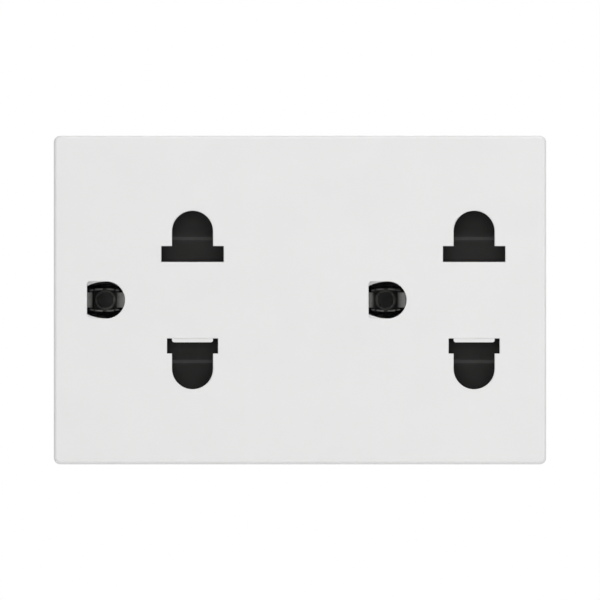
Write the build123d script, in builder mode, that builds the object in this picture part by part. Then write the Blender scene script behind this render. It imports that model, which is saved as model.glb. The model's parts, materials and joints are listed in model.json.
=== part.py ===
"""Double wall socket: a clip-in insert with two shuttered outlets for flat and round pins.

X runs to the right, Z up and Y away from the user. The origin is the middle of the plate on the seat
plane, where the rim of the skirt lies on the mounting frame. Levels are measured forwards from that
plane, so the face is at a positive level and the rear housing at negative ones.
"""
import os
from math import cos, radians, sin

from build123d import *

os.makedirs("parts", exist_ok=True)

# Fits
fit_clearance = 0.1
slide_clearance = 0.1
seat_clearance = 0.03
end_overlap = 0.5

# Front plate and skirt
plate_width = 68.0
plate_height = 45.4
plate_corner_radius = 0.9
plate_edge_radius = 0.5
plate_wall = 2.0
skirt_wall = 1.8
skirt_inner_radius = 0.5
face_level = 9.0
overall_depth = 30.1

# Outlets, side by side, each at its distance from the plate's edge on that side
left_outlet_margin = 19.15
right_outlet_margin = 9.95

# Pins of the plugs that fit
blade_offset = 6.35
blade_thickness = 1.52
round_pin_offset = 9.5
round_pin_radius = 2.4

# Pin openings: a flat slot with a dome on its outer side
neutral_slot_width = 8.62
neutral_slot_height = 2.19
line_slot_width = 7.04
line_slot_height = 2.08
dome_radius = 2.83
opening_edge_radius = 0.12
lip_reach = 0.53
lip_thickness = 0.6
lip_recess = 0.12
lip_corner_radius = 0.3

# Earth openings: round on the right, flat on the left, with small corner ledges inside
earth_offset = 11.9
earth_radius = 2.56
earth_flat = 2.675
earth_corner_radius = 0.45
earth_barrel_radius = 6.2
earth_ledge_depth = 1.5

# Rear housing
housing_wall = 1.4
housing_corner_radius = 1.0
housing_edge_radius = 0.8
housing_rim_level = 5.0
floor_wall = 2.0
rib_offset = 3.4
rib_thickness = 0.8
corner_post_width = 2.4
corner_post_height = 4.0
panel_width = 17.0
panel_height = 26.0
panel_depth = 0.5
panel_corner_radius = 1.5

# Snaps that hold the plate on the housing, and latches that hold the insert in its frame
snap_margin = 16.0
snap_width = 5.0
snap_level = 3.0
snap_height = 1.2
snap_reach = 0.45
snap_pocket_depth = 0.6
latch_margin = 14.0
latch_width = 7.0
latch_catch_level = -2.2
latch_reach = 1.0
latch_land = 0.7
latch_ramp = 3.6
latch_root_rise = 2.2
latch_slit = 0.8
latch_free_end_level = -1.2

# Shutter deck
deck_back_level = 1.0
deck_thickness = 1.5
passage_margin = 0.15
rail_thickness = 0.8
low_rail_thickness = 0.7
rail_end_margin = 0.2
boss_wall = 0.6
boss_cavity_half_width = 2.96
boss_cavity_half_height = 2.62
boss_corner_radius = 0.8
deck_post_inset = 1.9
deck_post_size = 3.0
hold_down_width = 2.0
hold_down_height = 1.6
hold_down_distance = 8.9

# Shutters and their centring springs
crest_offset = 8.5
crest_flat = 0.45
crest_step = 0.15
flank_crest_slope = 50.0
flank_end_slope = 8.0
shutter_overlap = 0.24
shutter_inner_reach = 1.0
shutter_outer_margin = 0.07
flange_inset = 0.65
flange_end_bar = 0.8
flange_side_bar = 0.6
flange_thickness = 1.2
spring_length = 7.9
spring_radius = 1.1
spring_wire_radius = 0.15
spring_turns = 6.5
spring_side_gap = 0.15
spring_wall = 0.9

# Line and neutral busbars with their contact leaves
busbar_sheet = 0.7
middle_leaf_sheet = 0.6
leaf_width = 6.6
blade_grip = 0.52
round_pin_grip = 1.0
leaf_root_spread = 0.5
leaf_tip_spread = 0.7
leaf_tip_level = 0.3
leaf_pinch_level = -2.2
leaf_root_rise = 3.0
bend_radius = 0.8
bar_width = 3.4
bar_offset = 10.3
tab_width = 4.8
middle_foot_length = 3.4
rivet_offset = 9.4
rivet_radius = 0.9
rivet_head_radius = 1.4
rivet_head_height = 0.4

# Earth busbar and its sprung contacts
earth_strip_width = 3.8
earth_contact_offset = 12.18
earth_sheet = 0.2
earth_side_gap = 3.2
earth_side_width = 2.08
earth_flare_reach = 1.1
earth_flare_height = 1.05
earth_side_tip_level = 5.3
earth_bend_radius = 0.6
earth_finger_gap = 2.83
earth_finger_bow = 10.0
earth_finger_span = 4.0
earth_finger_tip_level = 3.4
earth_slit_level = -3.0
earth_middle_slit = 0.55
earth_outer_slit = 0.24
earth_outer_slit_offset = 1.43
earth_rivet_rim = 1.4
earth_rivet_radius = 1.26
earth_rivet_bore = 1.12
earth_rivet_lip = 0.35

# Terminals
terminal_width = 7.2
terminal_height = 6.0
terminal_depth = 7.2
terminal_edge = 0.3
wire_bore_radius = 2.1
wire_bore_depth = 2.8
wire_entry_radius = 2.4
spigot_radius = 1.2
screw_radius = 1.7
screw_thread_clearance = 0.05
screw_tip_clearance = 0.15
screw_sink = 0.3
screw_chamfer = 0.25
screw_slot_width = 0.7
screw_slot_depth = 1.0
screw_cross_length = 2.2
screw_access_radius = 2.6
tower_back_wall = 1.8
tower_edge_radius = 0.6
wire_entry_funnel = 0.5
terminal_stagger = 3.0
earth_terminal_margin = 9.5
gusset_length = 1.6
gusset_height = 4.2
gusset_thickness = 1.0

# Places and levels that follow from the sizes above
outlets = {
    "left": left_outlet_margin - plate_width / 2,
    "right": plate_width / 2 - right_outlet_margin,
}
outlet_pitch = outlets["right"] - outlets["left"]
outlet_pair_centre = (outlets["left"] + outlets["right"]) / 2
hold_down_spots = (outlets["left"] + hold_down_distance, outlets["right"] - hold_down_distance)
poles = {"neutral": 1, "line": -1}
skirt_inner_width = plate_width - 2 * skirt_wall
skirt_inner_height = plate_height - 2 * skirt_wall
plate_inner_level = face_level - plate_wall
tower_back_level = face_level - overall_depth
tower_inner_level = tower_back_level + tower_back_wall
terminal_back_level = tower_inner_level + fit_clearance
floor_level = terminal_back_level + terminal_depth
back_level = floor_level - floor_wall
housing_width = skirt_inner_width - 2 * fit_clearance
housing_height = skirt_inner_height - 2 * fit_clearance
housing_inner_width = housing_width - 2 * housing_wall
housing_inner_height = housing_height - 2 * housing_wall
deck_width = housing_inner_width - 2 * fit_clearance
deck_height = housing_inner_height - 2 * fit_clearance
deck_front_level = deck_back_level + deck_thickness
boss_top_level = plate_inner_level - slide_clearance

shutter_width = neutral_slot_width + 2 * shutter_overlap
shutter_inner_end = blade_offset - shutter_inner_reach
shutter_outer_end = round_pin_offset + dome_radius + shutter_outer_margin
shutter_crest_level = plate_inner_level - slide_clearance
shutter_base_level = deck_front_level + slide_clearance
shutter_travel_out = blade_offset + blade_thickness / 2 - shutter_inner_end
spring_axis_level = shutter_base_level + spring_radius
spring_axis_x = (
    shutter_width / 2 + slide_clearance + low_rail_thickness + spring_side_gap + spring_radius
)
spring_window_half_width = spring_radius + spring_side_gap
flange_inner_end = shutter_inner_end + flange_inset
flange_outer_end = flange_inner_end + 2 * flange_end_bar + spring_length
flange_level = spring_axis_level + slide_clearance / 2
spring_wall_level = spring_axis_level - slide_clearance / 2
spring_inner_end = flange_inner_end + flange_end_bar
spring_outer_end = flange_outer_end - flange_end_bar

blade_gap = blade_thickness - blade_grip
round_gap = 2 * round_pin_radius - round_pin_grip
leaf_root_level = floor_level + leaf_root_rise
busbar_top_level = floor_level + busbar_sheet
terminal_outer_end = housing_inner_height / 2 - fit_clearance
terminal_offset = terminal_outer_end - terminal_height / 2
wire_bore_level = floor_level - wire_bore_depth
neutral_terminal_x = -terminal_stagger
line_terminal_x = terminal_stagger
earth_terminal_x = earth_terminal_margin - plate_width / 2
terminals = {
    "neutral": (neutral_terminal_x, 1),
    "line": (line_terminal_x, -1),
    "earth": (earth_terminal_x, -1),
}
snap_spacing = plate_width - 2 * snap_margin
latch_spacing = plate_width - 2 * latch_margin
latch_root_level = floor_level + latch_root_rise
tower_width = terminal_width + 2 * (fit_clearance + housing_wall)
tower_inner_edge = terminal_offset - terminal_height / 2 - fit_clearance - housing_wall
panel_centre = (line_terminal_x + tower_width / 2 + housing_width / 2) / 2
earth_axes = [x - earth_contact_offset for x in outlets.values()]
rivet_pocket_depth = rivet_head_height + fit_clearance


def front_plane(level, x=0.0, z=0.0):
    """A drawing plane seen from the front: across is +X, up is +Z and out of the page is forwards."""
    return Plane(origin=(x, -level, z), x_dir=(1, 0, 0), z_dir=(0, -1, 0))


def side_points(points, side):
    """(level, height) pairs as points of a profile seen from the side, turned over for the lower pole."""
    return [(-level, side * height) for level, height in points]


def keep(part, name):
    """Label a finished piece and write its file."""
    part.label = name
    export_step(part, f"parts/{name}.step")


def draw_pin_opening(pole, margin=0.0):
    """The slot and dome of one pin opening, around its outlet's centre."""
    side = poles[pole]
    slot_width = neutral_slot_width if pole == "neutral" else line_slot_width
    slot_height = neutral_slot_height if pole == "neutral" else line_slot_height
    with Locations((0, side * blade_offset)):
        Rectangle(slot_width + 2 * margin, slot_height + 2 * margin)
    with Locations((0, side * (blade_offset + round_pin_offset) / 2)):
        Rectangle(2 * (dome_radius + margin), round_pin_offset - blade_offset)
    with Locations((0, side * round_pin_offset)):
        Circle(dome_radius + margin)


def draw_earth_opening(sketch):
    """The D-shaped earth opening, around the centre of its arc."""
    Circle(earth_radius)
    with Locations((-earth_flat / 2, 0)):
        Rectangle(earth_flat, 2 * earth_radius)
    fillet(sketch.vertices().group_by(Axis.X)[0], earth_corner_radius)


# Front cover: the plate, its skirt and the openings
with BuildPart() as front_cover:
    with BuildSketch(front_plane(0)):
        RectangleRounded(plate_width, plate_height, plate_corner_radius)
    extrude(amount=face_level)
    fillet(front_cover.faces().sort_by(Axis.Y)[0].edges(), plate_edge_radius)
    with BuildSketch(front_plane(0)):
        RectangleRounded(skirt_inner_width, skirt_inner_height, skirt_inner_radius)
    extrude(amount=plate_inner_level, mode=Mode.SUBTRACT)
    for x in outlets.values():
        for pole in poles:
            with BuildSketch(front_plane(face_level, x)):
                draw_pin_opening(pole)
            extrude(amount=-plate_wall, mode=Mode.SUBTRACT)
        # The earth opening steps in to a barrel shape, which leaves a ledge in its flat side's corners
        with BuildSketch(front_plane(face_level, x - earth_offset)) as earth_mouth:
            draw_earth_opening(earth_mouth)
        extrude(amount=-earth_ledge_depth, mode=Mode.SUBTRACT)
        with BuildSketch(front_plane(face_level - earth_ledge_depth, x - earth_offset)) as earth_throat:
            draw_earth_opening(earth_throat)
            for side in (1, -1):
                with Locations((0, side * (earth_radius - earth_barrel_radius))):
                    Circle(earth_barrel_radius, mode=Mode.INTERSECT)
        extrude(amount=earth_ledge_depth - plate_wall, mode=Mode.SUBTRACT)
    opening_rims = front_cover.faces().sort_by(Axis.Y)[0].inner_wires()
    fillet(opening_rims.edges(), opening_edge_radius)
    # A lip narrows the middle of each line slot on its inner edge
    lip_bottom = blade_offset - line_slot_height / 2 + lip_reach
    for x in outlets.values():
        with BuildSketch(front_plane(face_level - lip_recess, x)) as lip:
            with Locations((0, -lip_bottom)):
                Rectangle(2 * dome_radius, lip_reach + end_overlap, align=(Align.CENTER, Align.MIN))
            fillet(lip.vertices().group_by(Axis.Y)[0], lip_corner_radius)
        extrude(amount=-lip_thickness)
    # Pockets for the housing's snaps
    with BuildSketch(front_plane(snap_level - snap_height / 2 - fit_clearance)):
        with GridLocations(snap_spacing, skirt_inner_height + snap_pocket_depth, 2, 2):
            Rectangle(snap_width + 2 * fit_clearance, snap_pocket_depth)
    extrude(amount=snap_height + 2 * fit_clearance, mode=Mode.SUBTRACT)
    # Posts that press the deck down at its corners
    with BuildSketch(front_plane(deck_front_level)):
        with GridLocations(
            deck_width - 2 * deck_post_inset, deck_height - 2 * deck_post_inset, 2, 2
        ):
            Rectangle(deck_post_size, deck_post_size)
    extrude(amount=plate_inner_level - deck_front_level)
keep(front_cover.part, "front_cover")


# Shutter deck: carries the shutters and springs, surrounds the earth contacts and holds the busbars down
with BuildPart() as shutter_deck:
    with BuildSketch(front_plane(deck_back_level)):
        RectangleRounded(deck_width, deck_height, skirt_inner_radius)
    extrude(amount=deck_thickness)
    rail_half_length = shutter_outer_end + shutter_travel_out + rail_end_margin
    rail_x = shutter_width / 2 + slide_clearance
    for x in outlets.values():
        with BuildSketch(front_plane(deck_front_level, x + rail_x)):
            Rectangle(rail_thickness, 2 * rail_half_length, align=(Align.MIN, Align.CENTER))
        extrude(amount=plate_inner_level - slide_clearance - deck_front_level)
        with BuildSketch(front_plane(deck_front_level, x - rail_x)):
            Rectangle(low_rail_thickness, 2 * rail_half_length, align=(Align.MAX, Align.CENTER))
        extrude(amount=spring_wall_level - deck_front_level)
        # Walls that the ends of the springs rest on
        with BuildSketch(front_plane(deck_front_level, x - rail_x)):
            for side in (1, -1):
                for spring_end in (spring_inner_end - spring_wall / 2, spring_outer_end + spring_wall / 2):
                    with Locations((0, side * spring_end)):
                        Rectangle(
                            spring_axis_x + spring_radius - rail_x,
                            spring_wall,
                            align=(Align.MAX, Align.CENTER),
                        )
        extrude(amount=spring_wall_level - deck_front_level)
        # Boss around the earth contact
        with BuildSketch(front_plane(deck_front_level, x - earth_contact_offset)):
            RectangleRounded(
                2 * (boss_cavity_half_width + boss_wall),
                2 * (boss_cavity_half_height + boss_wall),
                boss_corner_radius + boss_wall,
            )
        extrude(amount=boss_top_level - deck_front_level)
        with BuildSketch(front_plane(boss_top_level, x - earth_contact_offset)):
            RectangleRounded(
                2 * boss_cavity_half_width, 2 * boss_cavity_half_height, boss_corner_radius
            )
        extrude(amount=deck_back_level - boss_top_level, mode=Mode.SUBTRACT)
        with BuildSketch(front_plane(deck_front_level, x)):
            for pole in poles:
                draw_pin_opening(pole, passage_margin)
        extrude(amount=-deck_thickness, mode=Mode.SUBTRACT)
    # Fingers that hold the three busbars on the housing's floor
    with BuildSketch(front_plane(deck_back_level)):
        for spot in hold_down_spots:
            with Locations((spot, -bar_offset), (spot, bar_offset)):
                Rectangle(hold_down_width, hold_down_height)
        with Locations((hold_down_spots[0], 0)):
            Rectangle(hold_down_width, hold_down_height)
    extrude(amount=busbar_top_level - deck_back_level)
keep(shutter_deck.part, "shutter_deck")


# Shutters: a slide with a crest between two hollow flanks, which a round pin pushes inwards and a
# flat blade outwards
def flank(crest_edge, crest_level, far_end):
    """Three (level, height) points of a flank that is steep at the crest and nearly flat at its far end."""
    sine_span = sin(radians(flank_crest_slope)) - sin(radians(flank_end_slope))
    hollow_radius = (far_end - crest_edge) / sine_span
    points = []
    for angle in (flank_crest_slope, (flank_crest_slope + flank_end_slope) / 2, flank_end_slope):
        across = hollow_radius * (sin(radians(flank_crest_slope)) - sin(radians(angle)))
        drop = abs(hollow_radius) * (cos(radians(angle)) - cos(radians(flank_crest_slope)))
        points.append((crest_level - drop, crest_edge + across))
    return points


def make_shutter(x, side):
    crest_inner = crest_offset - crest_flat / 2
    crest_outer = crest_offset + crest_flat / 2
    inner_flank = flank(crest_inner, shutter_crest_level, shutter_inner_end)
    outer_flank = flank(crest_outer, shutter_crest_level - crest_step, shutter_outer_end)
    crest = [inner_flank[0], (shutter_crest_level, crest_outer), outer_flank[0]]
    base = [
        outer_flank[-1],
        (shutter_base_level, shutter_outer_end),
        (shutter_base_level, shutter_inner_end),
        inner_flank[-1],
    ]
    flange_middle = side * (flange_inner_end + flange_outer_end) / 2
    flange_reach = spring_axis_x + spring_window_half_width + flange_side_bar
    with BuildPart() as shutter:
        with BuildSketch(Plane.YZ.offset(x)):
            with BuildLine():
                ThreePointArc(*side_points(inner_flank, side))
                Polyline(side_points(crest, side))
                ThreePointArc(*side_points(outer_flank, side))
                Polyline(side_points(base, side))
            make_face()
        extrude(amount=shutter_width / 2, both=True)
        # Flange with the window that holds the front half of the spring
        with BuildSketch(front_plane(flange_level, x)):
            with Locations((-shutter_width / 2, flange_middle)):
                Rectangle(
                    flange_reach - shutter_width / 2,
                    flange_outer_end - flange_inner_end,
                    align=(Align.MAX, Align.CENTER),
                )
            with Locations((-spring_axis_x, flange_middle)):
                Rectangle(2 * spring_window_half_width, spring_length, mode=Mode.SUBTRACT)
        extrude(amount=flange_thickness)
    return shutter.part


# Centring springs: each lies half in its shutter's window and half between the deck's walls
def make_spring(x, side):
    coil_radius = spring_radius - spring_wire_radius
    coil_height = spring_length - 2 * (spring_wire_radius + seat_clearance)
    start_height = spring_inner_end + spring_wire_radius + seat_clearance
    with BuildPart() as spring:
        with BuildLine() as coil:
            Helix(
                pitch=coil_height / spring_turns,
                height=coil_height,
                radius=coil_radius,
                center=(x - spring_axis_x, -spring_axis_level, side * start_height),
                direction=(0, 0, side),
            )
        with BuildSketch(Plane(origin=coil.line @ 0, z_dir=coil.line % 0)):
            Circle(spring_wire_radius)
        sweep()
    return spring.part


for place, x in outlets.items():
    for pole, side in poles.items():
        keep(make_shutter(x, side), f"{pole}_shutter_{place}")
        keep(make_spring(x, side), f"{pole}_shutter_spring_{place}")


# Line and neutral busbars: at each outlet the strip folds up into an inner and an outer contact leaf
def make_busbar(side, tab_x):
    inner_pinch = blade_offset - blade_gap / 2 - busbar_sheet / 2
    outer_pinch = round_pin_offset + round_gap / 2 + busbar_sheet / 2
    base_level = floor_level + busbar_sheet / 2
    fold = [
        (leaf_tip_level, inner_pinch - leaf_tip_spread),
        (leaf_pinch_level, inner_pinch),
        (leaf_root_level, inner_pinch - leaf_root_spread),
        (base_level, inner_pinch - leaf_root_spread),
        (base_level, outer_pinch + leaf_root_spread),
        (leaf_root_level, outer_pinch + leaf_root_spread),
        (leaf_pinch_level, outer_pinch),
        (leaf_tip_level, outer_pinch + leaf_tip_spread),
    ]
    with BuildPart() as busbar:
        for x in outlets.values():
            with BuildSketch(Plane.YZ.offset(x)):
                with BuildLine():
                    FilletPolyline(side_points(fold, side), radius=bend_radius)
                trace(line_width=busbar_sheet)
            extrude(amount=leaf_width / 2, both=True)
        with BuildSketch(front_plane(floor_level)):
            with Locations((outlet_pair_centre, side * bar_offset)):
                Rectangle(outlet_pitch, bar_width)
            with Locations((tab_x, side * (bar_offset + terminal_outer_end) / 2)):
                Rectangle(tab_width, terminal_outer_end - bar_offset)
        extrude(amount=busbar_sheet)
        with BuildSketch(front_plane(floor_level)):
            with Locations([(x, side * rivet_offset) for x in outlets.values()]):
                Circle(rivet_radius + seat_clearance)
            with Locations((tab_x, side * terminal_offset)):
                Circle(spigot_radius + seat_clearance)
        extrude(amount=busbar_sheet, mode=Mode.SUBTRACT)
    return busbar.part


keep(make_busbar(poles["neutral"], neutral_terminal_x), "neutral_busbar")
keep(make_busbar(poles["line"], line_terminal_x), "line_busbar")


# Middle leaves: the blade goes in on their inner side and the round pin on their outer side
def make_middle_leaf(x, side):
    leaf_height = blade_offset + blade_gap / 2 + middle_leaf_sheet / 2
    foot_level = busbar_top_level + middle_leaf_sheet / 2
    fold = [
        (leaf_tip_level, leaf_height),
        (foot_level, leaf_height),
        (foot_level, leaf_height + middle_foot_length),
    ]
    with BuildPart() as leaf:
        with BuildSketch(Plane.YZ.offset(x)):
            with BuildLine():
                FilletPolyline(side_points(fold, side), radius=bend_radius)
            trace(line_width=middle_leaf_sheet)
        extrude(amount=leaf_width / 2, both=True)
        with BuildSketch(front_plane(busbar_top_level, x, side * rivet_offset)):
            Circle(rivet_radius + seat_clearance)
        extrude(amount=middle_leaf_sheet, mode=Mode.SUBTRACT)
    return leaf.part


for place, x in outlets.items():
    for pole, side in poles.items():
        keep(make_middle_leaf(x, side), f"{pole}_middle_leaf_{place}")


# Solid rivets that hold the middle leaves on the busbars
with BuildPart() as contact_rivets:
    rivet_places = [(x, side * rivet_offset) for x in outlets.values() for side in poles.values()]
    stack = busbar_sheet + middle_leaf_sheet
    for radius, start, height in (
        (rivet_head_radius, floor_level - rivet_head_height, rivet_head_height),
        (rivet_radius, floor_level, stack),
        (rivet_head_radius, floor_level + stack, rivet_head_height),
    ):
        with BuildSketch(front_plane(start)):
            with Locations(rivet_places):
                Circle(radius)
        extrude(amount=height)
keep(contact_rivets.part, "contact_rivets")


# Earth busbar: a flat strip under both earth contacts, with a tail to its terminal
with BuildPart() as earth_busbar:
    with BuildSketch(front_plane(floor_level)):
        with Locations((sum(earth_axes) / 2, 0)):
            Rectangle(outlet_pitch + 2 * (boss_cavity_half_width - fit_clearance), earth_strip_width)
        with Locations((earth_terminal_x, -terminal_outer_end / 2)):
            Rectangle(tab_width, terminal_outer_end)
    extrude(amount=busbar_sheet)
    with BuildSketch(front_plane(floor_level)):
        with Locations([(x, 0) for x in earth_axes]):
            Circle(earth_rivet_radius + seat_clearance)
        with Locations((earth_terminal_x, -terminal_offset)):
            Circle(spigot_radius + seat_clearance)
    extrude(amount=busbar_sheet, mode=Mode.SUBTRACT)
keep(earth_busbar.part, "earth_busbar")


# Earth contacts: two flared side leaves, with a bowed leaf above and below that is slit into fingers
def make_earth_contact(x):
    side_x = (earth_side_gap + earth_sheet) / 2
    finger_z = (earth_finger_gap + earth_sheet) / 2
    base_width = earth_side_gap + 2 * earth_sheet
    base_height = earth_finger_gap + 2 * earth_sheet
    base_y = -(busbar_top_level + earth_sheet / 2)
    tip_y = -earth_side_tip_level
    with BuildPart() as contact:
        with BuildSketch(front_plane(busbar_top_level, x)):
            Rectangle(base_width, base_height)
        extrude(amount=earth_sheet)
        for side in (1, -1):
            with BuildSketch(Plane.XY):
                with BuildLine():
                    FilletPolyline(
                        (x + side * side_x, base_y),
                        (x + side * side_x, tip_y + earth_flare_height),
                        (x + side * (side_x + earth_flare_reach), tip_y),
                        radius=earth_bend_radius,
                    )
                trace(line_width=earth_sheet)
            extrude(amount=earth_side_width / 2, both=True)
            with BuildSketch(front_plane(busbar_top_level, x, side * finger_z)):
                with Locations((0, -side * earth_finger_bow)):
                    Circle(earth_finger_bow + earth_sheet / 2)
                    Circle(earth_finger_bow - earth_sheet / 2, mode=Mode.SUBTRACT)
                Rectangle(earth_finger_span, earth_finger_gap, mode=Mode.INTERSECT)
            extrude(amount=earth_finger_tip_level - busbar_top_level)
        with BuildSketch(front_plane(earth_slit_level, x)):
            for side in (1, -1):
                with Locations((0, side * finger_z)):
                    Rectangle(earth_middle_slit, 3 * earth_sheet)
                with Locations(
                    (-earth_outer_slit_offset, side * finger_z),
                    (earth_outer_slit_offset, side * finger_z),
                ):
                    Rectangle(earth_outer_slit, 3 * earth_sheet)
        extrude(amount=earth_finger_tip_level - earth_slit_level, mode=Mode.SUBTRACT)
        with BuildSketch(front_plane(busbar_top_level, x)):
            Circle(earth_rivet_radius + seat_clearance)
        extrude(amount=earth_sheet, mode=Mode.SUBTRACT)
    return contact.part


for place, x in zip(outlets, earth_axes):
    keep(make_earth_contact(x), f"earth_contact_{place}")


# Hollow rivets that hold the earth contacts on their busbar
with BuildPart() as earth_rivets:
    stack = busbar_sheet + earth_sheet
    for radius, start, height in (
        (earth_rivet_rim, floor_level - rivet_head_height, rivet_head_height),
        (earth_rivet_radius, floor_level, stack),
        (earth_rivet_rim, floor_level + stack, earth_rivet_lip),
    ):
        with BuildSketch(front_plane(start)):
            with Locations([(x, 0) for x in earth_axes]):
                Circle(radius)
                Circle(earth_rivet_bore, mode=Mode.SUBTRACT)
        extrude(amount=height)
keep(earth_rivets.part, "earth_rivets")


# Terminals: brass blocks that the wires go into, each riveted to its busbar by a spigot
def make_terminal(x, side):
    with BuildPart() as terminal:
        with BuildSketch(front_plane(terminal_back_level, x, side * terminal_offset)):
            Rectangle(terminal_width, terminal_height)
        extrude(amount=terminal_depth)
        chamfer(terminal.edges(), terminal_edge)
        with BuildSketch(front_plane(floor_level, x, side * terminal_offset)):
            Circle(spigot_radius)
        extrude(amount=busbar_sheet)
        with BuildSketch(Plane.XY.offset(side * terminal_offset)):
            with Locations((x, -wire_bore_level)):
                Circle(wire_bore_radius)
        extrude(amount=terminal_height / 2, both=True, mode=Mode.SUBTRACT)
        with BuildSketch(front_plane(terminal_back_level, x, side * terminal_offset)):
            Circle(screw_radius + screw_thread_clearance)
        extrude(amount=wire_bore_level - terminal_back_level, mode=Mode.SUBTRACT)
    return terminal.part


# Terminal screws: headless, and backed off so that the wire bores are free
def make_terminal_screw(x, side):
    tip_level = wire_bore_level - wire_bore_radius - screw_tip_clearance
    slotted_end_level = tower_back_level + screw_sink
    with BuildPart() as screw:
        with BuildSketch(front_plane(slotted_end_level, x, side * terminal_offset)):
            Circle(screw_radius)
        extrude(amount=tip_level - slotted_end_level)
        chamfer(screw.edges().filter_by(GeomType.CIRCLE), screw_chamfer)
        with BuildSketch(front_plane(slotted_end_level, x, side * terminal_offset)):
            Rectangle(2 * screw_radius, screw_slot_width)
            Rectangle(screw_slot_width, screw_cross_length)
        extrude(amount=screw_slot_depth, mode=Mode.SUBTRACT)
    return screw.part


for pole, (x, side) in terminals.items():
    keep(make_terminal(x, side), f"{pole}_terminal")
    keep(make_terminal_screw(x, side), f"{pole}_terminal_screw")


# Rear housing: the tub behind the deck, with a tower around each terminal
with BuildPart() as rear_housing:
    with BuildSketch(front_plane(back_level)):
        RectangleRounded(housing_width, housing_height, housing_corner_radius)
    extrude(amount=housing_rim_level - back_level)
    fillet(rear_housing.faces().sort_by(Axis.Y)[-1].edges(), housing_edge_radius)
    for x, side in terminals.values():
        with BuildSketch(front_plane(tower_back_level, x, side * housing_height / 2)):
            Rectangle(
                tower_width,
                housing_height / 2 - tower_inner_edge,
                align=(Align.CENTER, Align.MAX if side > 0 else Align.MIN),
            )
        extrude(amount=floor_level - tower_back_level)
    tower_backs = rear_housing.faces().filter_by(Axis.Y).group_by(Axis.Y)[-1]
    fillet(tower_backs.edges(), tower_edge_radius)
    # Gussets that stiffen the towers' sides
    for x, side in terminals.values():
        with BuildSketch(Plane.XY.offset(side * terminal_offset)):
            for hand in (1, -1):
                tower_side = x + hand * tower_width / 2
                root_x = tower_side - hand * end_overlap
                tip_x = tower_side + hand * gusset_length
                with BuildLine():
                    Polyline(
                        (root_x, -back_level - end_overlap),
                        (root_x, gusset_height - back_level),
                        (tower_side, gusset_height - back_level),
                        (tip_x, -back_level),
                        (tip_x, -back_level - end_overlap),
                        close=True,
                    )
                make_face()
        extrude(amount=gusset_thickness / 2, both=True)
    # Shallow panel in the free half of the back
    with BuildSketch(front_plane(back_level, panel_centre)):
        RectangleRounded(panel_width, panel_height, panel_corner_radius)
    extrude(amount=panel_depth, mode=Mode.SUBTRACT)
    with BuildSketch(front_plane(floor_level)):
        RectangleRounded(housing_inner_width, housing_inner_height, skirt_inner_radius)
    extrude(amount=housing_rim_level - floor_level, mode=Mode.SUBTRACT)
    for x, side in terminals.values():
        with BuildSketch(front_plane(tower_inner_level, x, side * terminal_offset)):
            Rectangle(terminal_width + 2 * fit_clearance, terminal_height + 2 * fit_clearance)
        extrude(amount=floor_level - tower_inner_level, mode=Mode.SUBTRACT)
        with BuildSketch(front_plane(tower_back_level, x, side * terminal_offset)):
            Circle(screw_access_radius)
        extrude(amount=tower_back_wall, mode=Mode.SUBTRACT)
        with BuildSketch(Plane.XY.offset(side * housing_height / 2)):
            with Locations((x, -wire_bore_level)):
                Circle(wire_entry_radius)
        extrude(amount=-side * housing_wall, mode=Mode.SUBTRACT)
    wire_entries = rear_housing.edges().filter_by(GeomType.CIRCLE).group_by(Axis.Z)
    chamfer(wire_entries[0] + wire_entries[-1], wire_entry_funnel)
    # Recesses for the backs of the rivets
    with BuildSketch(front_plane(floor_level)):
        with Locations(rivet_places):
            Circle(rivet_head_radius + fit_clearance)
        with Locations([(x, 0) for x in earth_axes]):
            Circle(earth_rivet_rim + fit_clearance)
    extrude(amount=-rivet_pocket_depth, mode=Mode.SUBTRACT)
    # Ribs between the poles and posts in the corners, which carry the deck
    with BuildSketch(front_plane(floor_level)):
        with Locations((0, rib_offset), (0, -rib_offset)):
            Rectangle(housing_inner_width + 2 * fit_clearance, rib_thickness)
        with Locations((earth_terminal_x, -rib_offset)):
            Rectangle(tab_width + 2 * end_overlap, 2 * rib_thickness, mode=Mode.SUBTRACT)
        with GridLocations(
            housing_inner_width - corner_post_width, housing_inner_height - corner_post_height, 2, 2
        ):
            Rectangle(corner_post_width + 2 * fit_clearance, corner_post_height + 2 * fit_clearance)
    extrude(amount=deck_back_level - floor_level)
    # Snaps for the front cover
    snap_profile = [
        (snap_level - snap_height / 2, housing_height / 2),
        (snap_level, housing_height / 2 + snap_reach),
        (snap_level + snap_height / 2, housing_height / 2),
        (snap_level, housing_height / 2 - housing_wall / 2),
    ]
    # Latches for the mounting frame
    latch_profile = [
        (latch_catch_level, housing_height / 2 - housing_wall / 2),
        (latch_catch_level, housing_height / 2 + latch_reach),
        (latch_catch_level - latch_land, housing_height / 2 + latch_reach),
        (latch_catch_level - latch_land - latch_ramp, housing_height / 2),
        (latch_catch_level - latch_land - latch_ramp, housing_height / 2 - housing_wall / 2),
    ]
    for profile, spacing, width in (
        (snap_profile, snap_spacing, snap_width),
        (latch_profile, latch_spacing, latch_width),
    ):
        for x in (-spacing / 2, spacing / 2):
            for side in (1, -1):
                with BuildSketch(Plane.YZ.offset(x)):
                    with BuildLine():
                        Polyline(side_points(profile, side), close=True)
                    make_face()
                extrude(amount=width / 2, both=True)
    # Slits that free each latch's tongue on three sides
    tongue_length = latch_free_end_level - latch_root_level
    tongue_middle_y = -(latch_free_end_level + latch_root_level) / 2
    for side in (1, -1):
        with BuildSketch(Plane.XY.offset(side * housing_height / 2)):
            with GridLocations(latch_spacing, 0, 2, 1):
                with Locations((0, tongue_middle_y - latch_slit / 2)):
                    Rectangle(latch_width + 2 * latch_slit, tongue_length + latch_slit)
                with Locations((0, tongue_middle_y)):
                    Rectangle(latch_width, tongue_length, mode=Mode.SUBTRACT)
        extrude(amount=-side * housing_wall, mode=Mode.SUBTRACT)
keep(rear_housing.part, "rear_housing")
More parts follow.
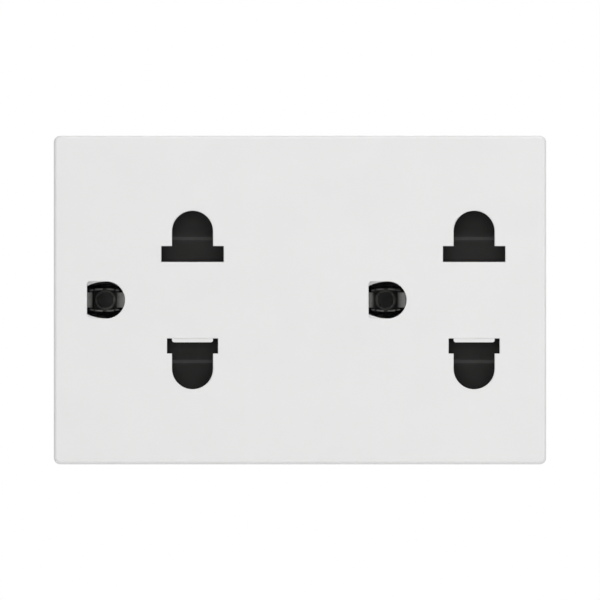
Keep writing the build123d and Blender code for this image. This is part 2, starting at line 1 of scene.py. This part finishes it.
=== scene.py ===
"""Double wall socket: the finishes, threads, moulded marks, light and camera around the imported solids."""
import json
from math import atan2, pi

import bpy
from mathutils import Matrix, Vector


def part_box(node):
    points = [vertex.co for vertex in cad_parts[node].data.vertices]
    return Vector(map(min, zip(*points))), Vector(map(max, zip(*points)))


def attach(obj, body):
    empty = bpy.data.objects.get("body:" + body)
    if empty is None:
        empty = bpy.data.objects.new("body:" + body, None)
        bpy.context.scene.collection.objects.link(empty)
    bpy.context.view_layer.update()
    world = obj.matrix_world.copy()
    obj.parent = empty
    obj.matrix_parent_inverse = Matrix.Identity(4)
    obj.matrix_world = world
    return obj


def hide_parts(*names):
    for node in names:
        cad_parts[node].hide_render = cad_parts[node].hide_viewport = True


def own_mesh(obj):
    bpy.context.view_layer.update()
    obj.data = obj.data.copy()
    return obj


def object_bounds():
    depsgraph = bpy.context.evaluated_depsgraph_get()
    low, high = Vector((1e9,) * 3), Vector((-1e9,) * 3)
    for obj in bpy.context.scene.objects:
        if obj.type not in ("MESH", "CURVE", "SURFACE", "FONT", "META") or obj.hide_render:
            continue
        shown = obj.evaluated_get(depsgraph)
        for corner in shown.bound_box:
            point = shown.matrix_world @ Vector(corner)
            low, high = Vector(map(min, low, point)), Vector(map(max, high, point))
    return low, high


MM = 0.001

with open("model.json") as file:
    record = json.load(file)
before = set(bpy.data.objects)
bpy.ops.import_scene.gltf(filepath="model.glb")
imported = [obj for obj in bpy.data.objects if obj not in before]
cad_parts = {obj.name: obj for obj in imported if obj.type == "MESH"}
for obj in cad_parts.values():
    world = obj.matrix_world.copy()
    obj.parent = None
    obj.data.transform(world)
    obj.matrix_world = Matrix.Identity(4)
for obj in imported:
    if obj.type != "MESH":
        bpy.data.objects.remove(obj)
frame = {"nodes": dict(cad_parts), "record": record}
cad_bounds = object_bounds()

face_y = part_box("front_cover")[0].y
housing_floor = 2.0 * MM
back_wall_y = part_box("earth_busbar")[1].y + housing_floor
outlets = ("left", "right")
poles = {"neutral": 1, "line": -1}


# Finishes

# The part of a noise's range that is spread from dark to light or from smooth to rough
noise_low = 0.3
noise_high = 0.7
broad_detail = 3.0
fine_detail = 4.0

# Moulded plastic
mottle_size = 9.0 * MM
sheen_size = 1.6 * MM
grain_depth = 0.02 * MM

# Metal
unstretched = (1.0, 1.0, 1.0)
along_strip = (0.08, 1.0, 1.0)
along_contact = (1.0, 0.12, 1.0)
along_screw = (1.0, 0.3, 1.0)
streak_size = 0.5 * MM
streak_strength = 0.05
streak_depth = 0.005 * MM
blotch_size = 2.2 * MM

# Tinned strip of the earth contacts, with its tone at places along Y from deep inside to the mouth; the
# darker tones deep inside are painted shade
contact_streak_size = 0.4 * MM
stain_size = 1.2 * MM
stain_dark = (0.78, 0.78, 0.78)
stain_light = (1.0, 1.0, 1.0)
tin_blue_share = 0.97
tin_depth_shade_tones = [
    (-2.4 * MM, 0.085),
    (-3.15 * MM, 0.085),
    (-3.3 * MM, 0.12),
    (-3.9 * MM, 0.165),
    (-4.9 * MM, 0.66),
]


def start_finish(name):
    """A new material with its node tree, links and shader."""
    finish = bpy.data.materials.new(name)
    finish.use_nodes = True
    tree = finish.node_tree
    return finish, tree.nodes, tree.links, tree.nodes["Principled BSDF"]


def object_place(nodes, links, stretch=unstretched):
    """The place on the piece, stretched for a drawn or rolled grain."""
    place = nodes.new("ShaderNodeTexCoord")
    mapping = nodes.new("ShaderNodeMapping")
    mapping.inputs["Scale"].default_value = stretch
    links.new(place.outputs["Object"], mapping.inputs["Vector"])
    return mapping.outputs["Vector"]


def speckle(nodes, links, place, size, detail=2.0):
    """A noise whose blobs are about `size` metres across."""
    noise = nodes.new("ShaderNodeTexNoise")
    noise.inputs["Scale"].default_value = 1.0 / size
    noise.inputs["Detail"].default_value = detail
    links.new(place, noise.inputs["Vector"])
    return noise.outputs["Fac"]


def between(nodes, links, amount, low, high):
    """A noise turned into a value from low to high."""
    spread = nodes.new("ShaderNodeMapRange")
    spread.inputs["From Min"].default_value = noise_low
    spread.inputs["From Max"].default_value = noise_high
    spread.inputs["To Min"].default_value = low
    spread.inputs["To Max"].default_value = high
    links.new(amount, spread.inputs["Value"])
    return spread.outputs["Result"]


def two_tones(nodes, links, amount, dark, light):
    """A noise turned into a colour from dark to light."""
    ramp = nodes.new("ShaderNodeValToRGB")
    first_stop, last_stop = ramp.color_ramp.elements
    first_stop.position = noise_low
    first_stop.color = (*dark, 1.0)
    last_stop.position = noise_high
    last_stop.color = (*light, 1.0)
    links.new(amount, ramp.inputs["Fac"])
    return ramp.outputs["Color"]


def raise_grain(nodes, links, shader, amount, strength, depth):
    """A fine surface grain."""
    bump = nodes.new("ShaderNodeBump")
    bump.inputs["Strength"].default_value = strength
    bump.inputs["Distance"].default_value = depth
    links.new(amount, bump.inputs["Height"])
    links.new(bump.outputs["Normal"], shader.inputs["Normal"])


def moulded_plastic(name, dark, light, roughness, grain_size, grain_strength, shine=0.5):
    """Injection-moulded plastic: faint mottling, uneven sheen and the mould's spark-eroded grain."""
    finish, nodes, links, shader = start_finish(name)
    shader.inputs["Specular IOR Level"].default_value = shine
    place = object_place(nodes, links)
    mottle = speckle(nodes, links, place, mottle_size, broad_detail)
    sheen = speckle(nodes, links, place, sheen_size, fine_detail)
    grain = speckle(nodes, links, place, grain_size)
    links.new(two_tones(nodes, links, mottle, dark, light), shader.inputs["Base Color"])
    links.new(between(nodes, links, sheen, *roughness), shader.inputs["Roughness"])
    raise_grain(nodes, links, shader, grain, grain_strength, grain_depth)
    return finish


def drawn_metal(name, dark, light, roughness, stretch=unstretched):
    """Rolled or drawn metal: faint blotches, and streaks along the way it was drawn."""
    finish, nodes, links, shader = start_finish(name)
    shader.inputs["Metallic"].default_value = 1.0
    streaks = speckle(nodes, links, object_place(nodes, links, stretch), streak_size, fine_detail)
    blotches = speckle(nodes, links, object_place(nodes, links), blotch_size, broad_detail)
    links.new(two_tones(nodes, links, blotches, dark, light), shader.inputs["Base Color"])
    links.new(between(nodes, links, streaks, *roughness), shader.inputs["Roughness"])
    raise_grain(nodes, links, shader, streaks, streak_strength, streak_depth)
    return finish


def depth_shaded_strip(name, tones, roughness):
    """Plated strip with painted shade: its tone darkens along Y from the mouth to deep inside, with faint
    random stains.
    """
    finish, nodes, links, shader = start_finish(name)
    shader.inputs["Metallic"].default_value = 1.0
    place = object_place(nodes, links)
    parts = nodes.new("ShaderNodeSeparateXYZ")
    links.new(place, parts.inputs["Vector"])
    depth = nodes.new("ShaderNodeMapRange")
    deepest, mouth = tones[0][0], tones[-1][0]
    depth.inputs["From Min"].default_value = deepest
    depth.inputs["From Max"].default_value = mouth
    links.new(parts.outputs["Y"], depth.inputs["Value"])
    # Painted shade: the tone darkens along Y from the mouth to deep inside
    depth_shade = nodes.new("ShaderNodeValToRGB")
    stops = depth_shade.color_ramp.elements
    while len(stops) < len(tones):
        stops.new(0.5)
    for stop, (y, tone) in zip(stops, tones):
        stop.position = (y - deepest) / (mouth - deepest)
        stop.color = (tone, tone, tin_blue_share * tone, 1.0)
    links.new(depth.outputs["Result"], depth_shade.inputs["Fac"])
    blotches = speckle(nodes, links, place, stain_size, broad_detail)
    stained = nodes.new("ShaderNodeMix")
    stained.data_type = "RGBA"
    stained.blend_type = "MULTIPLY"
    stained.inputs["Factor"].default_value = 1.0
    links.new(depth_shade.outputs["Color"], stained.inputs["A"])
    links.new(two_tones(nodes, links, blotches, stain_dark, stain_light), stained.inputs["B"])
    links.new(stained.outputs["Result"], shader.inputs["Base Color"])
    streak_place = object_place(nodes, links, along_contact)
    streaks = speckle(nodes, links, streak_place, contact_streak_size, fine_detail)
    links.new(between(nodes, links, streaks, *roughness), shader.inputs["Roughness"])
    raise_grain(nodes, links, shader, streaks, streak_strength, streak_depth)
    return finish


finishes = {
    "white_plastic": moulded_plastic(
        "white_satin_plastic",
        dark=(0.785, 0.786, 0.782),
        light=(0.8, 0.8, 0.796),
        roughness=(0.5, 0.6),
        grain_size=0.11 * MM,
        grain_strength=0.1,
    ),
    "grey_plastic": moulded_plastic(
        "grey_housing_plastic",
        dark=(0.522, 0.529, 0.53),
        light=(0.548, 0.555, 0.556),
        roughness=(0.42, 0.56),
        grain_size=0.2 * MM,
        grain_strength=0.25,
    ),
    "black_plastic": moulded_plastic(
        "black_shutter_plastic",
        dark=(0.032, 0.032, 0.0312),
        light=(0.04, 0.04, 0.039),
        roughness=(0.46, 0.62),
        grain_size=0.14 * MM,
        grain_strength=0.2,
        shine=0.12,
    ),
    # Painted light: the deck's charcoal is lighter than the black plastic, to brighten the deep earth wells
    "charcoal_plastic": moulded_plastic(
        "charcoal_deck_painted_light",
        dark=(0.1, 0.1, 0.098),
        light=(0.12, 0.12, 0.118),
        roughness=(0.5, 0.66),
        grain_size=0.14 * MM,
        grain_strength=0.2,
    ),
    "brass": drawn_metal(
        "rolled_brass",
        dark=(0.72, 0.52, 0.235),
        light=(0.78, 0.58, 0.285),
        roughness=(0.3, 0.36),
        stretch=along_strip,
    ),
    # Tinned earth contacts, darkened deep inside the earth wells as painted shade
    "tinned_metal": depth_shaded_strip("tinned_strip_depth_shade", tones=tin_depth_shade_tones, roughness=(0.46, 0.6)),
    # Rivet metal toned dark as painted shade for its place deep in the earth well
    "rivet_metal": drawn_metal(
        "nickel_rivet_painted_shade",
        dark=(0.13, 0.13, 0.125),
        light=(0.19, 0.19, 0.183),
        roughness=(0.38, 0.5),
    ),
    "spring_steel": drawn_metal(
        "spring_wire",
        dark=(0.4, 0.4, 0.41),
        light=(0.56, 0.56, 0.57),
        roughness=(0.2, 0.34),
    ),
    "screw_steel": drawn_metal(
        "zinc_plated_screw",
        dark=(0.62, 0.617, 0.58),
        light=(0.7, 0.693, 0.65),
        roughness=(0.32, 0.4),
        stretch=along_screw,
    ),
}
for subpart in frame["record"]["subparts"]:
    solid = frame["nodes"][subpart["node"]]
    solid.data.materials.clear()
    solid.data.materials.append(finishes[subpart["material_slot"]])


# Handling of pieces

merge_distance = 0.001 * MM


def pick(piece):
    """Make this the one selected, active piece."""
    bpy.ops.object.select_all(action="DESELECT")
    piece.select_set(True)
    bpy.context.view_layer.objects.active = piece


def apply_place(piece):
    """Put a piece's place, turn and scale into its mesh."""
    pick(piece)
    bpy.ops.object.transform_apply(location=True, rotation=True, scale=True)


def apply_all(piece):
    """Bake every modifier of a piece into its mesh."""
    pick(piece)
    for modifier in list(piece.modifiers):
        bpy.ops.object.modifier_apply(modifier=modifier.name)


def combine(piece, other, operation):
    """Join a piece with another, or keep what they share, and drop the other."""
    boolean = piece.modifiers.new("combine", "BOOLEAN")
    boolean.operation = operation
    boolean.solver = "EXACT"
    boolean.object = other
    apply_all(piece)
    bpy.data.objects.remove(other)


def copy_to(first, name, shift):
    """A copy of a piece, with a mesh of its own that is shifted to its place."""
    piece = first.copy()
    piece.data = first.data.copy()
    piece.name = name
    bpy.context.scene.collection.objects.link(piece)
    piece.location = shift
    apply_place(piece)
    return piece


def merged_copy(solid, name):
    """A copy of a solid with its loose triangles joined up."""
    copy = solid.copy()
    copy.data = solid.data.copy()
    copy.parent = None
    copy.name = name
    bpy.context.scene.collection.objects.link(copy)
    pick(copy)
    bpy.ops.object.mode_set(mode="EDIT")
    bpy.ops.mesh.select_all(action="SELECT")
    bpy.ops.mesh.remove_doubles(threshold=merge_distance)
    bpy.ops.object.mode_set(mode="OBJECT")
    return copy


def select_corners(piece, wanted):
    """Enter edit mode with just the corners selected whose place is wanted."""
    pick(piece)
    bpy.ops.object.mode_set(mode="EDIT")
    bpy.ops.mesh.select_mode(type="VERT")
    bpy.ops.mesh.select_all(action="DESELECT")
    bpy.ops.object.mode_set(mode="OBJECT")
    for corner in piece.data.vertices:
        corner.select = wanted(corner.co)
    bpy.ops.object.mode_set(mode="EDIT")


# Centring springs, joined up and smoothly shaded

coil_smooth_angle = 0.7

for place in outlets:
    for pole, side in poles.items():
        spring_name = f"{pole}_shutter_spring_{place}"
        coil = merged_copy(frame["nodes"][spring_name], f"{pole}_shutter_coil_{place}")
        bpy.ops.object.shade_smooth_by_angle(angle=coil_smooth_angle)
        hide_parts(spring_name)
        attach(coil, "root")
        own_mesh(coil)


# Terminal screws with their thread

thread_pitch = 0.6 * MM
thread_depth = 0.32 * MM
crest_share = 0.2
crest_inset = 0.005 * MM
thread_steps = 40
spare_turns = 3
thread_merge_distance = 0.0005 * MM
cut_threshold = 0.0001 * MM
screw_smooth_angle = 0.5


def thread_profile(radius):
    """Flank, crest and flank of one turn of thread, open towards the axis."""
    middle_radius = radius - thread_depth / 2
    bpy.ops.object.select_all(action="DESELECT")
    bpy.ops.mesh.primitive_plane_add(size=1.0, location=(middle_radius, thread_pitch / 2, 0.0))
    profile = bpy.context.object
    profile.scale = (thread_depth, thread_pitch, 1.0)
    apply_place(profile)
    select_corners(profile, lambda place: place.x > middle_radius)
    bpy.ops.transform.resize(
        value=(1.0, crest_share, 1.0), center_override=(radius, thread_pitch / 2, 0.0)
    )
    bpy.ops.object.mode_set(mode="OBJECT")
    select_corners(profile, lambda place: place.x < middle_radius)
    bpy.ops.mesh.select_mode(type="EDGE")
    bpy.ops.mesh.delete(type="EDGE")
    bpy.ops.object.mode_set(mode="OBJECT")
    return profile


def threaded_rod(radius, start_y, end_y):
    """A closed rod along Y with a helical thread, cut square at both ends."""
    rod = thread_profile(radius)
    thread = rod.modifiers.new("thread", "SCREW")
    thread.axis = "Y"
    thread.angle = 2 * pi
    thread.screw_offset = thread_pitch
    thread.iterations = int((end_y - start_y) / thread_pitch) + spare_turns
    thread.steps = thread_steps
    thread.render_steps = thread_steps
    apply_all(rod)
    rod.location.y = start_y - spare_turns / 2 * thread_pitch
    apply_place(rod)
    bpy.ops.object.mode_set(mode="EDIT")
    bpy.ops.mesh.select_all(action="SELECT")
    bpy.ops.mesh.remove_doubles(threshold=thread_merge_distance)
    for cut_y, outwards in ((start_y, -1.0), (end_y, 1.0)):
        bpy.ops.mesh.select_all(action="SELECT")
        bpy.ops.mesh.bisect(
            plane_co=(0.0, cut_y, 0.0),
            plane_no=(0.0, outwards, 0.0),
            use_fill=True,
            clear_outer=True,
            threshold=cut_threshold,
        )
    bpy.ops.mesh.select_all(action="SELECT")
    bpy.ops.mesh.normals_make_consistent(inside=False)
    bpy.ops.object.mode_set(mode="OBJECT")
    return rod


def threaded_screw(solid_name):
    """A terminal screw whose shank carries its thread."""
    low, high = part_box(solid_name)
    plain = merged_copy(frame["nodes"][solid_name], "plain_screw")
    bpy.ops.mesh.customdata_custom_splitnormals_clear()
    crest_radius = (high.x - low.x) / 2 - crest_inset
    screw = threaded_rod(crest_radius, low.y - thread_pitch, high.y + thread_pitch)
    screw.location = ((low.x + high.x) / 2, 0.0, (low.z + high.z) / 2)
    apply_place(screw)
    combine(screw, plain, "INTERSECT")
    bpy.ops.object.shade_smooth_by_angle(angle=screw_smooth_angle)
    return screw


first_screw = threaded_screw("neutral_terminal_screw")
first_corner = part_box("neutral_terminal_screw")[0]
for pole in ("neutral", "line", "earth"):
    screw_name = f"{pole}_terminal_screw"
    screw = copy_to(first_screw, f"{pole}_threaded_screw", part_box(screw_name)[0] - first_corner)
    screw.data.materials.clear()
    screw.data.materials.append(finishes["screw_steel"])
    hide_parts(screw_name)
    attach(screw, "root")
bpy.data.objects.remove(first_screw)


# Marks moulded on the back

mark_relief = 0.45 * MM
mark_sink = 0.05 * MM
mark_rim = 0.08 * MM
mark_smooth_angle = 0.6
rim_segments = 2
stroke_width = 0.62 * MM


def round_rim(piece, width):
    """Round a mark's edges a little."""
    soften = piece.modifiers.new("soften", "BEVEL")
    soften.width = width
    soften.segments = rim_segments
    soften.limit_method = "ANGLE"
    apply_all(piece)
    bpy.ops.object.shade_smooth_by_angle(angle=mark_smooth_angle)


def finish_moulding(piece):
    """Give a moulded detail the housing's finish and fix it to the socket."""
    piece.data.materials.append(finishes["grey_plastic"])
    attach(piece, "root")


def raised_bar(start, end, width):
    """A raised line on the back wall between two (x, z) places."""
    run = Vector(end) - Vector(start)
    middle = (Vector(start) + Vector(end)) / 2
    bpy.ops.object.select_all(action="DESELECT")
    bpy.ops.mesh.primitive_cube_add(
        size=1.0,
        location=(middle.x, back_wall_y + (mark_relief - mark_sink) / 2, middle.y),
        rotation=(0.0, -atan2(run.y, run.x), 0.0),
        scale=(run.length + width, mark_relief + mark_sink, width),
    )
    bar = bpy.context.object
    apply_place(bar)
    return bar


def raised_mark(name, middle, strokes):
    """Strokes, drawn as they read from behind around their middle, as one raised mark."""
    x, z = middle
    bars = []
    for u0, v0, u1, v1 in strokes:
        bars.append(raised_bar((x - u0, z + v0), (x - u1, z + v1), stroke_width))
    mark = bars[0]
    mark.name = name
    for bar in bars[1:]:
        combine(mark, bar, "UNION")
    round_rim(mark, mark_rim)
    finish_moulding(mark)


def screw_place(pole):
    """The (x, z) of a terminal's screw."""
    low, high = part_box(f"{pole}_terminal_screw")
    return (low.x + high.x) / 2, (low.z + high.z) / 2


# Letters and earth sign beside the terminals
mark_distance = 9.0 * MM
half_width = 1.3 * MM
half_height = 1.8 * MM
earth_middle_bar = 0.6 * half_width
earth_short_bar = 0.15 * half_width
earth_bar_gap = 0.55 * half_height
letters = {
    "line": [
        (-half_width, half_height, -half_width, -half_height),
        (-half_width, -half_height, half_width, -half_height),
    ],
    "neutral": [
        (-half_width, -half_height, -half_width, half_height),
        (-half_width, half_height, half_width, -half_height),
        (half_width, -half_height, half_width, half_height),
    ],
    "earth": [
        (0.0, half_height, 0.0, 0.0),
        (-half_width, 0.0, half_width, 0.0),
        (-earth_middle_bar, -earth_bar_gap, earth_middle_bar, -earth_bar_gap),
        (-earth_short_bar, -2 * earth_bar_gap, earth_short_bar, -2 * earth_bar_gap),
    ],
}
for pole, strokes in letters.items():
    x, z = screw_place(pole)
    towards_middle = mark_distance if z < 0 else -mark_distance
    raised_mark(f"{pole}_mark", (x, z + towards_middle), strokes)

# The length to which a wire is bared
gauge_middle = (-17.5 * MM, 3.0 * MM)
gauge_half = 5.5 * MM
gauge_tick = 0.9 * MM
gauge_strokes = [
    (-gauge_half, 0.0, gauge_half, 0.0),
    (-gauge_half, -gauge_tick, -gauge_half, gauge_tick),
    (gauge_half, -gauge_tick, gauge_half, gauge_tick),
]
raised_mark("strip_gauge", gauge_middle, gauge_strokes)

# Round marks left by the mould's ejector pins
ejector_radius = 1.5 * MM
ejector_relief = 0.12 * MM
ejector_rim = 0.04 * MM
ejector_sides = 48
ejector_places = [
    (20.6 * MM, 16.9 * MM),
    (20.6 * MM, -16.9 * MM),
    (-16.0 * MM, 15.5 * MM),
    (-11.5 * MM, -15.5 * MM),
]
bpy.ops.object.select_all(action="DESELECT")
bpy.ops.mesh.primitive_cylinder_add(
    vertices=ejector_sides,
    radius=ejector_radius,
    depth=ejector_relief + mark_sink,
    location=(0.0, back_wall_y + (ejector_relief - mark_sink) / 2, 0.0),
    rotation=(pi / 2, 0.0, 0.0),
)
first_ejector_mark = bpy.context.object
apply_place(first_ejector_mark)
round_rim(first_ejector_mark, ejector_rim)
for number, (x, z) in enumerate(ejector_places, 1):
    finish_moulding(copy_to(first_ejector_mark, f"ejector_mark_{number}", (x, 0.0, z)))
bpy.data.objects.remove(first_ejector_mark)


# Light, background and floor

white = (1.0, 1.0, 1.0, 1.0)
ambient_strength = 0.33
backdrop_strength = 1.0
floor_gap = 31.0 * MM
floor_size = 0.7
floor_tone = (0.9, 0.9, 0.9, 1.0)
floor_roughness = 0.8
floor_fade_start = 0.1
floor_fade_end = 0.3


def soft_light(name, place, size, watts):
    """A square soft box that looks at the socket."""
    bpy.ops.object.light_add(type="AREA", location=place)
    lamp = bpy.context.object
    lamp.name = name
    lamp.data.shape = "SQUARE"
    lamp.data.size = size
    lamp.data.energy = watts
    lamp.rotation_euler = Vector(place).to_track_quat("Z", "Y").to_euler()


def backdrop_share(nodes, links):
    """One for the rays that see the backdrop: those of the camera, of reflections and of clear pieces."""
    ray = nodes.new("ShaderNodeLightPath")
    share = ray.outputs["Is Camera Ray"]
    for kind in ("Is Glossy Ray", "Is Transmission Ray"):
        either = nodes.new("ShaderNodeMath")
        either.operation = "MAXIMUM"
        links.new(share, either.inputs[0])
        links.new(ray.outputs[kind], either.inputs[1])
        share = either.outputs[0]
    return share


def white_studio():
    """A world that is seen white and lights the socket softly from all round."""
    world = bpy.data.worlds.new("white_studio")
    world.use_nodes = True
    nodes = world.node_tree.nodes
    links = world.node_tree.links
    ambient = nodes["Background"]
    ambient.inputs["Color"].default_value = white
    ambient.inputs["Strength"].default_value = ambient_strength
    backdrop = nodes.new("ShaderNodeBackground")
    backdrop.inputs["Color"].default_value = white
    backdrop.inputs["Strength"].default_value = backdrop_strength
    choose = nodes.new("ShaderNodeMixShader")
    links.new(backdrop_share(nodes, links), choose.inputs["Fac"])
    links.new(ambient.outputs["Background"], choose.inputs[1])
    links.new(backdrop.outputs["Background"], choose.inputs[2])
    links.new(choose.outputs["Shader"], nodes["World Output"].inputs["Surface"])
    return world


def pale_floor():
    """A pale matt floor that keeps the shadow and fades into the white backdrop."""
    finish, nodes, links, shader = start_finish("pale_floor")
    shader.inputs["Base Color"].default_value = floor_tone
    shader.inputs["Roughness"].default_value = floor_roughness
    place = nodes.new("ShaderNodeTexCoord")
    distance = nodes.new("ShaderNodeVectorMath")
    distance.operation = "LENGTH"
    links.new(place.outputs["Object"], distance.inputs[0])
    fade = nodes.new("ShaderNodeMapRange")
    fade.interpolation_type = "SMOOTHSTEP"
    fade.inputs["From Min"].default_value = floor_fade_start
    fade.inputs["From Max"].default_value = floor_fade_end
    links.new(distance.outputs["Value"], fade.inputs["Value"])
    seen_fade = nodes.new("ShaderNodeMath")
    seen_fade.operation = "MULTIPLY"
    links.new(fade.outputs["Result"], seen_fade.inputs[0])
    links.new(backdrop_share(nodes, links), seen_fade.inputs[1])
    glow = nodes.new("ShaderNodeEmission")
    mix = nodes.new("ShaderNodeMixShader")
    links.new(seen_fade.outputs[0], mix.inputs["Fac"])
    links.new(shader.outputs["BSDF"], mix.inputs[1])
    links.new(glow.outputs["Emission"], mix.inputs[2])
    links.new(mix.outputs["Shader"], nodes["Material Output"].inputs["Surface"])
    return finish


soft_light("left_front_light", place=(-0.15, -0.5, 0.05), size=0.24, watts=0.37)
soft_light("right_front_light", place=(0.15, -0.5, 0.05), size=0.24, watts=0.37)
soft_light("key_light", place=(0.14, -0.3, 0.5), size=0.4, watts=1.6)
soft_light("back_light", place=(0.1, 0.7, 0.32), size=0.5, watts=2.4)
bpy.context.scene.world = white_studio()

bpy.ops.object.select_all(action="DESELECT")
bpy.ops.mesh.primitive_plane_add(size=floor_size, location=(0.0, 0.0, cad_bounds[0][2] - floor_gap))
floor = bpy.context.object
floor.name = "studio_floor"
apply_place(floor)
floor.data.materials.append(pale_floor())


# Camera, square to the face

camera_distance = 3.5
view_width = 82.87 * MM
sensor_width = 36.0

camera_data = bpy.data.cameras.new("front_camera")
camera_data.sensor_width = sensor_width
camera_data.lens = sensor_width * camera_distance / view_width
camera = bpy.data.objects.new("front_camera", camera_data)
bpy.context.scene.collection.objects.link(camera)
camera.location = (0.0, face_y - camera_distance, 0.0)
camera.rotation_euler = (pi / 2, 0.0, 0.0)
bpy.context.scene.camera = camera
bpy.context.scene.view_settings.view_transform = "Standard"
